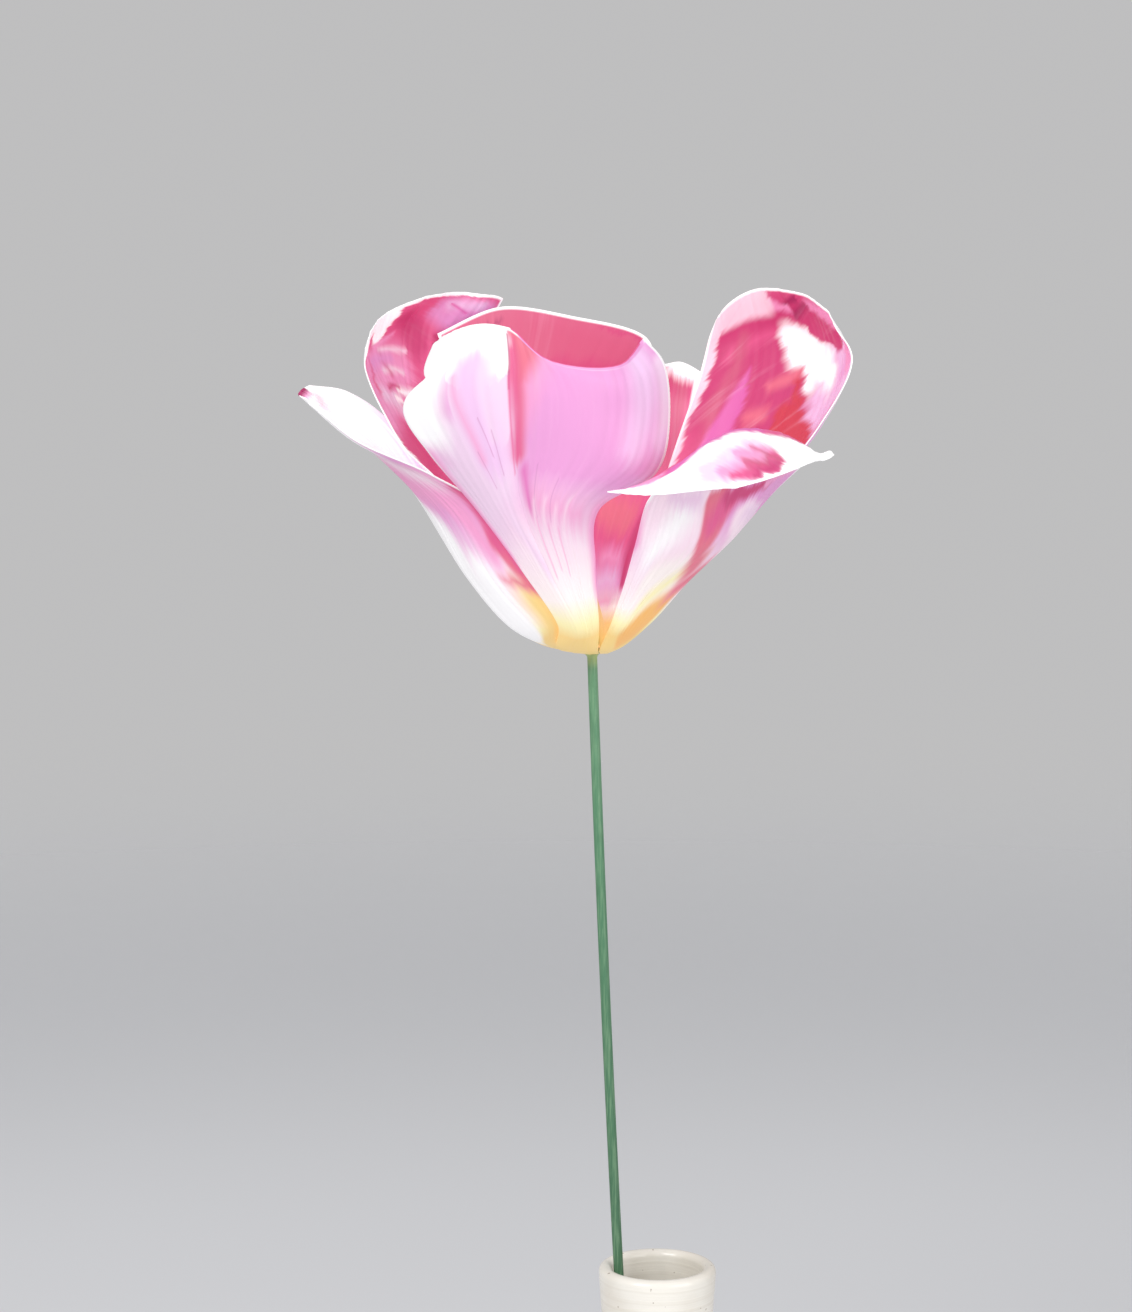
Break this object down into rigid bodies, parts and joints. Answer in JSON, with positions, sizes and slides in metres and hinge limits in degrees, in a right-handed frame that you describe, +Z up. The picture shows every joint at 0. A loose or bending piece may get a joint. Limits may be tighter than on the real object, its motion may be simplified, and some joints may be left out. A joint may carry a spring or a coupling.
{
  "type": "tulip in a vase",
  "caption": "Single open tulip with waved petals on a slender bent stem, standing in water in a plain ceramic bud vase.",
  "frame": {"origin": "centre of the vase's flat foot, on the surface it stands on", "axes": "+Z up along the vase, -Y to the front of the bloom as pictured, +X to its right"},
  "size_m": [0.1208, 0.0978, 0.3613],
  "materials": {
    "petal": "satin",
    "stem": "satin",
    "pistil": "matte",
    "stamen": "matte",
    "vase": "gloss",
    "water": "gloss"
  },
  "bodies": {
    "root": {"petal_front": "petal", "petal_right_front": "petal", "petal_right_back": "petal", "petal_back": "petal", "petal_left_back": "petal", "petal_left_front": "petal", "stem": "stem", "pistil": "pistil", "stamen_1": "stamen", "stamen_2": "stamen", "stamen_3": "stamen", "stamen_4": "stamen", "stamen_5": "stamen", "stamen_6": "stamen", "vase": "vase", "water": "water"}
  },
  "joints": []
}
